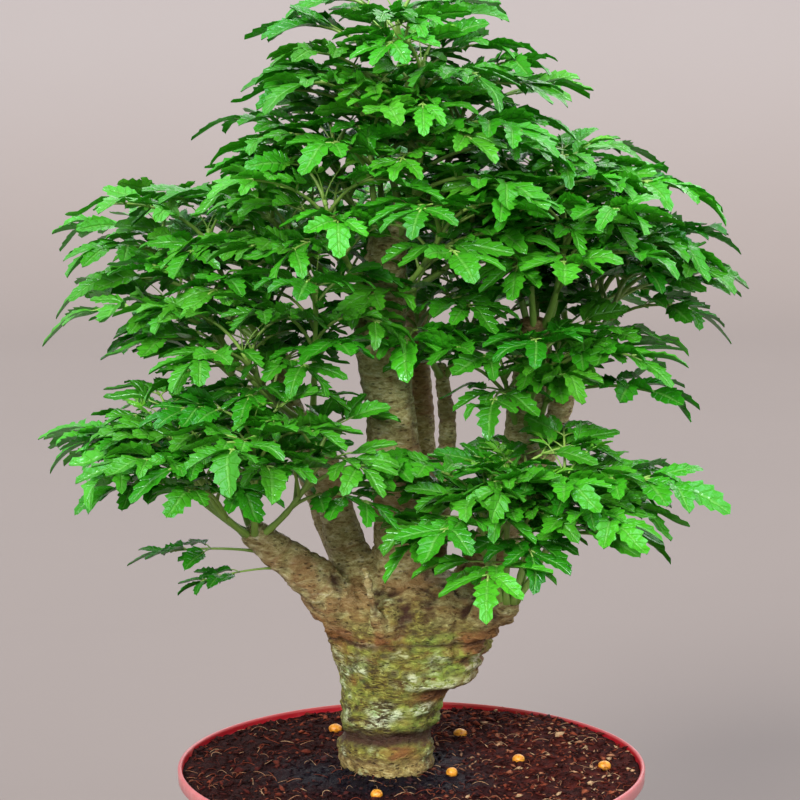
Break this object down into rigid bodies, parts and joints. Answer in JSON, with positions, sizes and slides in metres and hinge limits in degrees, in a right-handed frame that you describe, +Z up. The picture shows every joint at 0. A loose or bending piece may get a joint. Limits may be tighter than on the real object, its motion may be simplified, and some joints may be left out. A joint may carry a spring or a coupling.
{
  "type": "potted ming aralia",
  "caption": "Bonsai-style house plant: a ringed, swollen stump with upright limbs and a dense crown of finely cut leaves, rooted in soil in a round plastic pot.",
  "frame": {"origin": "centre of the pot's foot, on the surface that the pot stands on", "axes": "+Z up along the pot's axis, +X to the viewer's right, -Y to the front of the plant"},
  "size_m": [0.2479, 0.2129, 0.3947],
  "materials": {
    "pot": "semi-gloss",
    "soil": "rough fibrous coco peat, moist",
    "bark": "rough bark",
    "leaf": "glossy, lightly puckered",
    "pellet": "satin resin coat"
  },
  "bodies": {
    "root": {"pot": "pot", "soil": "soil", "trunk": "bark", "fertiliser_pellet_1": "pellet", "fertiliser_pellet_2": "pellet", "fertiliser_pellet_3": "pellet", "fertiliser_pellet_4": "pellet", "fertiliser_pellet_5": "pellet", "fertiliser_pellet_6": "pellet", "shoot_01": "leaf", "shoot_02": "leaf", "shoot_03": "leaf", "shoot_04": "leaf", "shoot_05": "leaf", "shoot_06": "leaf", "shoot_07": "leaf", "shoot_08": "leaf", "shoot_09": "leaf", "shoot_10": "leaf", "shoot_11": "leaf", "shoot_12": "leaf", "shoot_13": "leaf", "shoot_14": "leaf", "shoot_15": "leaf", "shoot_16": "leaf", "shoot_17": "leaf", "shoot_18": "leaf", "shoot_19": "leaf", "shoot_20": "leaf", "shoot_21": "leaf", "shoot_22": "leaf", "shoot_23": "leaf", "shoot_24": "leaf", "shoot_25": "leaf", "shoot_26": "leaf", "shoot_27": "leaf", "shoot_28": "leaf", "shoot_29": "leaf", "shoot_30": "leaf", "shoot_31": "leaf", "shoot_32": "leaf", "shoot_33": "leaf", "shoot_34": "leaf", "shoot_35": "leaf", "shoot_36": "leaf", "shoot_37": "leaf", "shoot_38": "leaf", "shoot_39": "leaf", "shoot_40": "leaf", "shoot_41": "leaf", "shoot_42": "leaf", "shoot_43": "leaf", "shoot_44": "leaf", "shoot_45": "leaf", "shoot_46": "leaf", "shoot_47": "leaf", "shoot_48": "leaf", "shoot_49": "leaf", "shoot_50": "leaf", "shoot_51": "leaf"}
  },
  "joints": []
}
